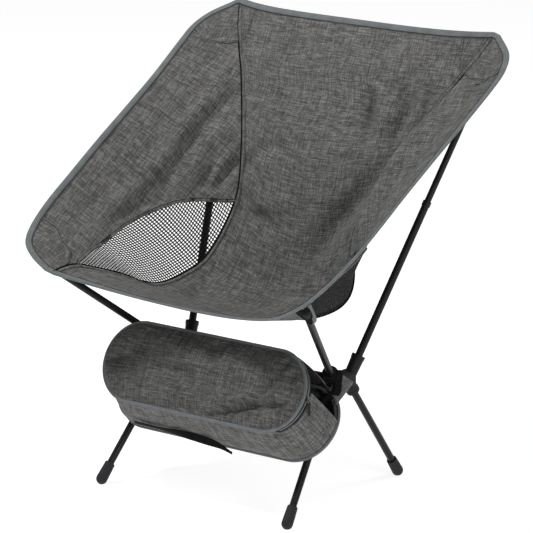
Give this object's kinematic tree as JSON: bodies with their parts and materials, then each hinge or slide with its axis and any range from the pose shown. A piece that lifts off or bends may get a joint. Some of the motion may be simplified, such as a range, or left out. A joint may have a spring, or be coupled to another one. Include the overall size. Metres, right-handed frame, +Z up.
{
  "type": "ultralight backpacking chair",
  "caption": "Low folding camp chair: slender black poles in two moulded hubs, a grey bucket sling with mesh hips, and a zipped carry pouch hung between the front legs.",
  "frame": {"origin": "on the ground under the middle of the chair's bounding box", "axes": "+Z up, the chair faces -Y, +X is the right-hand side seen from the front with the seat facing the viewer"},
  "size_m": [0.5792, 0.4744, 0.6567],
  "materials": {
    "anodised_black": "satin black anodised tube",
    "moulded_plastic": "matte dark grey moulding",
    "foot_rubber": "matte",
    "dark_steel": "darkened",
    "shock_cord": "braided elastic",
    "heather_polyester": "heather grey weave",
    "mesh_netting": "open black mesh",
    "binding_tape": "grosgrain tape",
    "black_webbing": "woven webbing"
  },
  "bodies": {
    "frame": {"cross_tube": "anodised_black", "hub_left": "moulded_plastic", "hub_right": "moulded_plastic", "hub_screw_left": "dark_steel", "hub_screw_right": "dark_steel", "shock_cord_back_left": "shock_cord", "shock_cord_back_right": "shock_cord", "front_post_left": "anodised_black", "front_post_right": "anodised_black", "back_post_lower_left": "anodised_black", "back_post_lower_right": "anodised_black", "back_post_upper_left": "anodised_black", "back_post_upper_right": "anodised_black", "ferrule_left": "dark_steel", "ferrule_right": "dark_steel", "front_tip_left": "moulded_plastic", "front_tip_right": "moulded_plastic", "back_tip_left": "moulded_plastic", "back_tip_right": "moulded_plastic", "front_pocket_left": "heather_polyester", "front_pocket_right": "heather_polyester", "back_pocket_left": "heather_polyester", "back_pocket_right": "heather_polyester", "middle_panel": "heather_polyester", "side_panel_left": "heather_polyester", "side_panel_right": "heather_polyester", "mesh_panel_left": "mesh_netting", "mesh_panel_right": "mesh_netting", "sling_binding": "binding_tape", "pouch_back": "heather_polyester", "back_binding": "binding_tape", "zip_tape_body": "black_webbing", "pouch_gusset": "heather_polyester", "hook_patch": "black_webbing", "pouch_strap_left": "black_webbing", "pouch_strap_right": "black_webbing", "strap_tail": "black_webbing"},
    "front_leg_right_body": {"front_leg_right": "anodised_black", "foot_cap_front_right": "foot_rubber", "shock_cord_front_right": "shock_cord"},
    "front_leg_left_body": {"front_leg_left": "anodised_black", "foot_cap_front_left": "foot_rubber", "shock_cord_front_left": "shock_cord"},
    "rear_leg_right_body": {"rear_leg_right": "anodised_black", "foot_cap_rear_right": "foot_rubber", "shock_cord_rear_right": "shock_cord"},
    "rear_leg_left_body": {"rear_leg_left": "anodised_black", "foot_cap_rear_left": "foot_rubber", "shock_cord_rear_left": "shock_cord"},
    "lid": {"pouch_lid": "heather_polyester", "lid_binding": "binding_tape", "zip_tape_lid": "black_webbing"},
    "slider": {"zip_slider": "dark_steel"},
    "pull": {"zip_pull": "moulded_plastic"}
  },
  "joints": [
    {"name": "front_leg_right_pull", "type": "slide", "parent": "frame", "child": "front_leg_right_body", "axis": [0.1092, -0.6152, -0.7808], "range_m": [0, 0.017], "stiffness_N_per_m": 150, "springref_m": -0.04},
    {"name": "front_leg_left_pull", "type": "slide", "parent": "frame", "child": "front_leg_left_body", "axis": [-0.1092, -0.6152, -0.7808], "range_m": [0, 0.017], "stiffness_N_per_m": 150, "springref_m": -0.04},
    {"name": "rear_leg_right_pull", "type": "slide", "parent": "frame", "child": "rear_leg_right_body", "axis": [-0.025, 0.6164, -0.787], "range_m": [0, 0.012], "stiffness_N_per_m": 150, "springref_m": -0.04},
    {"name": "rear_leg_left_pull", "type": "slide", "parent": "frame", "child": "rear_leg_left_body", "axis": [0.025, 0.6164, -0.787], "range_m": [0, 0.012], "stiffness_N_per_m": 150, "springref_m": -0.04},
    {"name": "pouch_lid_hinge", "type": "hinge", "parent": "frame", "child": "lid", "pos_m": [0, -0.1767, 0.1335], "axis": [1, 0, 0], "range_deg": [0, 110]},
    {"name": "zip_slider_run", "type": "hinge", "parent": "frame", "child": "slider", "pos_m": [0.1224, -0.14125, 0.18421], "axis": [0, -0.8838, 0.4679], "range_deg": [-45, 90]},
    {"name": "zip_pull_swing", "type": "hinge", "parent": "slider", "child": "pull", "pos_m": [0.18595, -0.14125, 0.18421], "axis": [0, -1, 0], "range_deg": [0, 80]}
  ]
}
